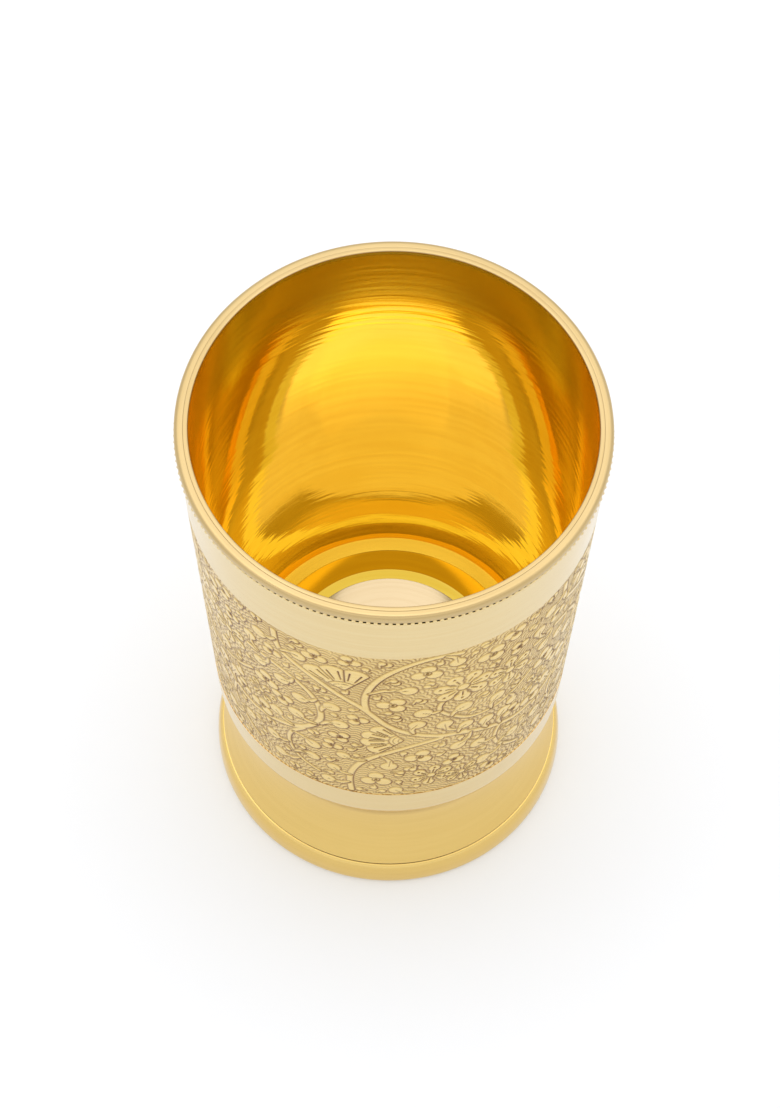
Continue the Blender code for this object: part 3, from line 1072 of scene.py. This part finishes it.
def make_brass_recipe():
    """The node group behind every finish."""
    group = bpy.data.node_groups.new("brass_recipe", "ShaderNodeTree")
    for name in ("Bright", "Dull", "Dark"):
        group.interface.new_socket(name, in_out="INPUT", socket_type="NodeSocketColor")
    for name in ("Darkening", "Roughness", "Fineness"):
        group.interface.new_socket(name, in_out="INPUT", socket_type="NodeSocketFloat")
    group.interface.new_socket("Base Color", in_out="OUTPUT", socket_type="NodeSocketColor")
    group.interface.new_socket("Roughness", in_out="OUTPUT", socket_type="NodeSocketFloat")
    group.interface.new_socket("Height", in_out="OUTPUT", socket_type="NodeSocketFloat")
    nodes, links = group.nodes, group.links
    given = nodes.new("NodeGroupInput")
    result = nodes.new("NodeGroupOutput")
    place = nodes.new("ShaderNodeTexCoord")
    smudge = nodes.new("ShaderNodeTexNoise")
    smudge.inputs["Scale"].default_value = SMUDGE_SCALE
    smudge.inputs["Detail"].default_value = SMUDGE_DETAIL
    links.new(place.outputs["Object"], smudge.inputs["Vector"])
    parts = nodes.new("ShaderNodeSeparateXYZ")
    links.new(place.outputs["Object"], parts.inputs[0])
    across = math_node(nodes, links, "MULTIPLY", parts.outputs["X"], parts.outputs["X"])
    along = math_node(nodes, links, "MULTIPLY", parts.outputs["Y"], parts.outputs["Y"])
    square = math_node(nodes, links, "ADD", across, along)
    radius = math_node(nodes, links, "SQRT", square)
    lathe = math_node(nodes, links, "ADD", radius, parts.outputs["Z"])
    fine = math_node(nodes, links, "MULTIPLY", lathe, given.outputs["Fineness"])
    streak = nodes.new("ShaderNodeCombineXYZ")
    for side in ("X", "Y"):
        stretched = math_node(nodes, links, "MULTIPLY", parts.outputs[side], MARK_STRETCH)
        links.new(stretched, streak.inputs[side])
    links.new(fine, streak.inputs["Z"])
    marks = nodes.new("ShaderNodeTexNoise")
    marks.inputs["Scale"].default_value = MARK_SCALE
    marks.inputs["Detail"].default_value = MARK_DETAIL
    links.new(streak.outputs[0], marks.inputs["Vector"])
    streaks = ramp_node(nodes, links, marks.outputs["Fac"], *MARK_EDGES)
    smudges = math_node(nodes, links, "MULTIPLY", smudge.outputs["Fac"], SMUDGE_SHARE)
    streaks = math_node(nodes, links, "MULTIPLY", streaks, 1 - SMUDGE_SHARE)
    wear = math_node(nodes, links, "ADD", smudges, streaks)
    metal = mix_node(nodes, links, wear, given.outputs["Bright"], given.outputs["Dull"])
    # Coats of the dark tint lay on patina and painted shade, as far as each finish asks for it.
    for _ in range(DARKENING_COATS):
        metal = mix_node(nodes, links, given.outputs["Darkening"], metal, given.outputs["Dark"], "MULTIPLY")
    links.new(metal, result.inputs["Base Color"])
    spread = math_node(nodes, links, "ADD", smudge.outputs["Fac"], LEAST_SPREAD)
    spread = math_node(nodes, links, "MULTIPLY", spread, given.outputs["Roughness"])
    rough_where_dark = math_node(nodes, links, "MULTIPLY", given.outputs["Darkening"], DARKENING_ROUGHNESS)
    links.new(math_node(nodes, links, "ADD", spread, rough_where_dark), result.inputs["Roughness"])
    links.new(marks.outputs["Fac"], result.inputs["Height"])
    return group


brass_recipe = make_brass_recipe()
print("recipe nodes", len(brass_recipe.nodes))

# %% [markdown]
# The inside was left a deep yellow from the lathe. The outside and the rim are polished, which makes them
# paler, and the foot is plain polished brass. The flange and the recess have a deep orange tone that is a
# painted reflection of the brass wall in them.
# Each finish has a bright and a dull tone, and a dark one for its patina and its painted shade.

# %% Tones of brass
DEEP = (0.94, 0.78, 0.27)
DEEP_DULL = (0.89, 0.695, 0.18)
PALE = (0.80, 0.635, 0.325)
PALE_DULL = (0.77, 0.585, 0.275)
RIM = (0.615, 0.46, 0.225)
RIM_DULL = (0.57, 0.413, 0.188)
DISH = (0.82, 0.645, 0.37)
DISH_DULL = (0.78, 0.60, 0.33)
# The recess and flange tones are painted reflection: the orange of the brass wall seen in them again.
RECESS = (0.69, 0.43, 0.045)
RECESS_DULL = (0.62, 0.37, 0.035)
FLANGE = (0.94, 0.58, 0.06)
FLANGE_DULL = (0.88, 0.52, 0.05)
FOOT = (0.82, 0.59, 0.205)
FOOT_DULL = (0.79, 0.555, 0.18)
ENGRAVED = (0.87, 0.66, 0.265)
ENGRAVED_DULL = (0.82, 0.59, 0.205)
# The next tint darkens the cuts of the engraving as patina, and the crease of the foot as painted shade.
TARNISH_AND_SHADE = (0.36, 0.22, 0.08)
# The next tint is painted shade for the gap behind the beads and the backs of the beads.
GAP_SHADE = (0.24, 0.20, 0.16)
# The next tint darkens the inside towards the mouth and paints the shade line under the lip.
MOUTH_DARK = (0.66, 0.685, 0.62)
print("inside", DEEP, "outside", PALE, "foot", FOOT)

# %% [markdown]
# A finish is a metal shader that the recipe feeds. The lathe marks go in as a small bump, because they are
# far too fine to model. Only the inside has marks deep enough to draw out the reflections.

# %% Finishes
COARSE, TURNED, FINE, FINEST = 700, 900, 1500, 2500
FAINT_MARKS = 1.0e-6
CLEAR_MARKS = 3.0e-5


def make_finish(name, bright, dull, dark, fineness, roughness, mark_depth=FAINT_MARKS):
    """A brass finish from the recipe, with its lathe marks as a small bump."""
    finish = bpy.data.materials.new(name)
    finish.use_nodes = True
    nodes, links = finish.node_tree.nodes, finish.node_tree.links
    shader = nodes["Principled BSDF"]
    shader.inputs["Metallic"].default_value = 1
    recipe = nodes.new("ShaderNodeGroup")
    recipe.name = "recipe"
    recipe.node_tree = brass_recipe
    recipe.inputs["Bright"].default_value = (*bright, 1)
    recipe.inputs["Dull"].default_value = (*dull, 1)
    recipe.inputs["Dark"].default_value = (*dark, 1)
    recipe.inputs["Roughness"].default_value = roughness
    recipe.inputs["Fineness"].default_value = fineness
    links.new(recipe.outputs["Base Color"], shader.inputs["Base Color"])
    links.new(recipe.outputs["Roughness"], shader.inputs["Roughness"])
    bump = nodes.new("ShaderNodeBump")
    bump.inputs["Distance"].default_value = mark_depth
    links.new(recipe.outputs["Height"], bump.inputs["Height"])
    links.new(bump.outputs["Normal"], shader.inputs["Normal"])
    return finish


outside_finish = make_finish("brass_outside", PALE, PALE_DULL, TARNISH_AND_SHADE, FINE, roughness=0.16)
engraved_finish = make_finish("brass_engraved", ENGRAVED, ENGRAVED_DULL, TARNISH_AND_SHADE, FINE, roughness=0.22)
inside_finish = make_finish("brass_inside", DEEP, DEEP_DULL, MOUTH_DARK, COARSE, 0.05, CLEAR_MARKS)
floor_finish = make_finish("brass_floor", DEEP, DEEP_DULL, TARNISH_AND_SHADE, TURNED, roughness=0.06)
flange_finish = make_finish("brass_flange", FLANGE, FLANGE_DULL, TARNISH_AND_SHADE, TURNED, roughness=0.10)
recess_finish = make_finish("brass_recess", RECESS, RECESS_DULL, TARNISH_AND_SHADE, TURNED, roughness=0.12)
dish_finish = make_finish("brass_dish", DISH, DISH_DULL, TARNISH_AND_SHADE, FINE, roughness=0.08)
rim_finish = make_finish("brass_rim", RIM, RIM_DULL, TARNISH_AND_SHADE, FINEST, roughness=0.30)
# The gap finish is painted shade, and the beads are painted dark at their backs.
gap_shade_finish = make_finish("brass_gap_shade", PALE, PALE_DULL, GAP_SHADE, FINEST, roughness=0.35)
bead_finish = make_finish("brass_beads", PALE, PALE_DULL, GAP_SHADE, FINEST, roughness=0.22)
foot_finish = make_finish("brass_foot", FOOT, FOOT_DULL, TARNISH_AND_SHADE, FINE, roughness=0.16)
print("finishes", len([m for m in bpy.data.materials if m.name.startswith("brass")]))

# %% [markdown]
# The engraving reads its patina and its painted shade from the panel. The inside is duller and darker
# towards the mouth, with a line of painted shade under the lip, and the foot has painted shade in its
# crease.
# The beads have painted shade close to the axis, behind the row, and the gap behind them is painted dark
# all over, as shade.

# %% Patina and painted shade
# The inside darkens towards the mouth between the next two heights.
MOUTH_DARKENING_START = 97 * MM
MOUTH_DARKENING_END = 106 * MM
MOUTH_DARKENING = 0.71
# A line of painted shade under the lip, between the next two heights.
EDGE_LIT = 115.7 * MM
EDGE_SHADED = 116.5 * MM
# The foot's crease under the cup gets painted shade between the next two heights.
CREASE_LIT = 20.5 * MM
CREASE_SHADED = 24.0 * MM
CREASE_SHADE = 0.34
# The beads get painted shade between the next two radii, behind the row.
BEADS_DARK = BEAD_CENTRE_RADIUS - 0.2 * MM
BEADS_LIT = BEAD_CENTRE_RADIUS + 0.05 * MM


def darkening_from_attribute(finish, name):
    """Let the recipe's darkening, patina together with painted shade, follow an attribute of the mesh."""
    nodes, links = finish.node_tree.nodes, finish.node_tree.links
    attribute = nodes.new("ShaderNodeAttribute")
    attribute.attribute_name = name
    links.new(attribute.outputs["Fac"], nodes["recipe"].inputs["Darkening"])


def shade_behind(finish, dark_radius, unshaded_radius):
    """Paint shade that grows towards the axis, from an unshaded radius in to a dark one."""
    nodes, links = finish.node_tree.nodes, finish.node_tree.links
    place = nodes.new("ShaderNodeTexCoord")
    flat = nodes.new("ShaderNodeVectorMath")
    flat.operation = "MULTIPLY"
    flat.inputs[1].default_value = (1, 1, 0)
    links.new(place.outputs["Object"], flat.inputs[0])
    reach = nodes.new("ShaderNodeVectorMath")
    reach.operation = "LENGTH"
    links.new(flat.outputs[0], reach.inputs[0])
    fade = nodes.new("ShaderNodeMapRange")
    fade.inputs["From Min"].default_value = dark_radius
    fade.inputs["From Max"].default_value = unshaded_radius
    fade.inputs["To Min"].default_value = 1
    fade.inputs["To Max"].default_value = 0
    links.new(reach.outputs["Value"], fade.inputs["Value"])
    links.new(fade.outputs[0], nodes["recipe"].inputs["Darkening"])


def darken_above(finish, *steps):
    """Darken a finish with the height, in steps from a start height up to an end height."""
    nodes, links = finish.node_tree.nodes, finish.node_tree.links
    place = nodes.new("ShaderNodeTexCoord")
    parts = nodes.new("ShaderNodeSeparateXYZ")
    links.new(place.outputs["Object"], parts.inputs[0])
    darkening = 0.0
    for start_height, end_height, most in steps:
        rise = ramp_node(nodes, links, parts.outputs["Z"], start_height, end_height)
        share = math_node(nodes, links, "MULTIPLY", rise, most)
        darkening = math_node(nodes, links, "ADD", share, darkening)
    links.new(darkening, nodes["recipe"].inputs["Darkening"])


darkening_from_attribute(engraved_finish, "darkening")
# The inside darkens towards the mouth, and a line of painted shade is laid under the lip.
darken_above(inside_finish, (MOUTH_DARKENING_START, MOUTH_DARKENING_END, MOUTH_DARKENING), (EDGE_LIT, EDGE_SHADED, 1))
# Painted shade in the crease of the foot, under the cup.
darken_above(foot_finish, (CREASE_LIT, CREASE_SHADED, CREASE_SHADE))
# Painted shade behind the beads, and all over the gap finish.
shade_behind(bead_finish, BEADS_DARK, BEADS_LIT)
gap_shade_finish.node_tree.nodes["recipe"].inputs["Darkening"].default_value = 1
# The print gives the darkening at the mouth and the painted shade in the crease of the foot.
print("patina at the mouth", MOUTH_DARKENING, "and in the crease of the foot", CREASE_SHADE)

# %% [markdown]
# The dish and the recess look dull from above, yet the light that they throw on the wall is bright. A
# darker tone would dull both. So painted shade dims them in the straight view only, and their
# reflections stay.

# %% Painted shade on the floor
# The next two tints are painted shade, seen only in the straight view.
DISH_VIEW_SHADE = (0.57, 0.565, 0.60)
RECESS_VIEW_SHADE = (0.89, 0.72, 0.18)


def dim_straight_view(finish, view_shade):
    """Dim a finish with painted shade only where the camera looks straight at it, not where the metal
    mirrors it.
    """
    nodes, links = finish.node_tree.nodes, finish.node_tree.links
    path = nodes.new("ShaderNodeLightPath")
    base = nodes["recipe"].outputs["Base Color"]
    seen = mix_node(nodes, links, path.outputs["Is Camera Ray"], base, view_shade, "MULTIPLY")
    links.new(seen, nodes["Principled BSDF"].inputs["Base Color"])


dim_straight_view(dish_finish, DISH_VIEW_SHADE)
dim_straight_view(recess_finish, RECESS_VIEW_SHADE)
# The print names the two finishes that carry this painted shade.
print("film on", dish_finish.name, "and", recess_finish.name)

# %% [markdown]
# A finish is laid on by faces, because one piece is often treated in several ways. The cup carries five
# finishes, the floor plate three and the rim ring two. Faces are picked by where their middle lies.

# %% Laying on the finishes
HAIR = 0.01 * MM
WALL_MARGIN = 0.05 * MM
LEDGE_MARGIN = 0.02 * MM
RECESS_MARGIN = 0.1 * MM
PLATE_MARGIN = 0.3 * MM


def dress(piece, *finishes):
    """Give a piece its finishes. All of its faces start with the first one."""
    for finish in finishes:
        piece.data.materials.append(finish)


def lay_finish(piece, place, belongs):
    """Give a later finish to the faces whose middle passes a test of radius and height."""
    count = 0
    for face in piece.data.polygons:
        radius = math.hypot(face.center.x, face.center.y)
        if belongs(radius, face.center.z):
            face.material_index = place
            count += 1
    print(piece.name, "faces with", piece.data.materials[place].name, count)


def is_inside(radius, height):
    """True for the faces that the drink would wet."""
    under_lip = FLANGE_TOP - HAIR < height < LIP_TOP - LIP_ROUND
    return under_lip and radius < inside_radius(height) + WALL_MARGIN


def is_lip(radius, height):
    """True for the top of the cup's own edge, inside the ring."""
    return height >= LIP_TOP - LIP_ROUND


def is_shoulder(radius, height):
    """True for the ledge under the beads and the wall behind them."""
    return SHOULDER - LEDGE_MARGIN < height < RING_UNDERSIDE and radius > lip_outer - HAIR


def is_flange(radius, height):
    """True for the narrow sloping ledge that the floor plate meets."""
    return radius < FLANGE_EDGE_RADIUS and FLANGE_TOP - HAIR < height < FLANGE_TOP + FLANGE_FALL


def is_dish(radius, height):
    """True for the middle of the floor plate."""
    return radius < RECESS_RADIUS - RECESS_WIDTH - FLOOR_RING_WIDTH


def is_recess(radius, height):
    """True for the dull recess between the flange and the floor's flat ring."""
    return radius > RECESS_RADIUS - RECESS_WIDTH + RECESS_MARGIN and height > PLATE_TOP + PLATE_MARGIN


def is_leg(radius, height):
    """True for the part of the rim ring that hides behind the beads."""
    return height < RING_UNDERSIDE + HAIR


# The cup's shoulder and the rim's leg take the gap finish, which is painted shade behind the beads.
dress(cup, outside_finish, inside_finish, rim_finish, gap_shade_finish, flange_finish)
lay_finish(cup, 1, is_inside)
lay_finish(cup, 2, is_lip)
lay_finish(cup, 3, is_shoulder)
lay_finish(cup, 4, is_flange)
dress(floor_plate, floor_finish, dish_finish, recess_finish)
lay_finish(floor_plate, 1, is_dish)
lay_finish(floor_plate, 2, is_recess)
dress(rim, rim_finish, gap_shade_finish)
lay_finish(rim, 1, is_leg)
dress(beads, bead_finish)
dress(foot, foot_finish)
dress(base, foot_finish)
for panel in panels:
    dress(panel, engraved_finish)

# %% [markdown]
# Last, every piece is tied to the tumbler, and takes the place of its plain solid. The engraved panels
# ride along as part of the cup.

# %% Tying the pieces to the tumbler
for piece, node, slot_name in (
    (cup, "cup_wall", "cup"),
    (floor_plate, "cup_floor", "floor"),
    (rim, "rim_ring", "rim"),
    (beads, "beaded_wire", "beads"),
    (foot, "foot_shell", "foot"),
    (base, "base_ring", "base"),
):
    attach(piece, "root")
    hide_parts(node)

for panel in panels:
    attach(panel, "root")
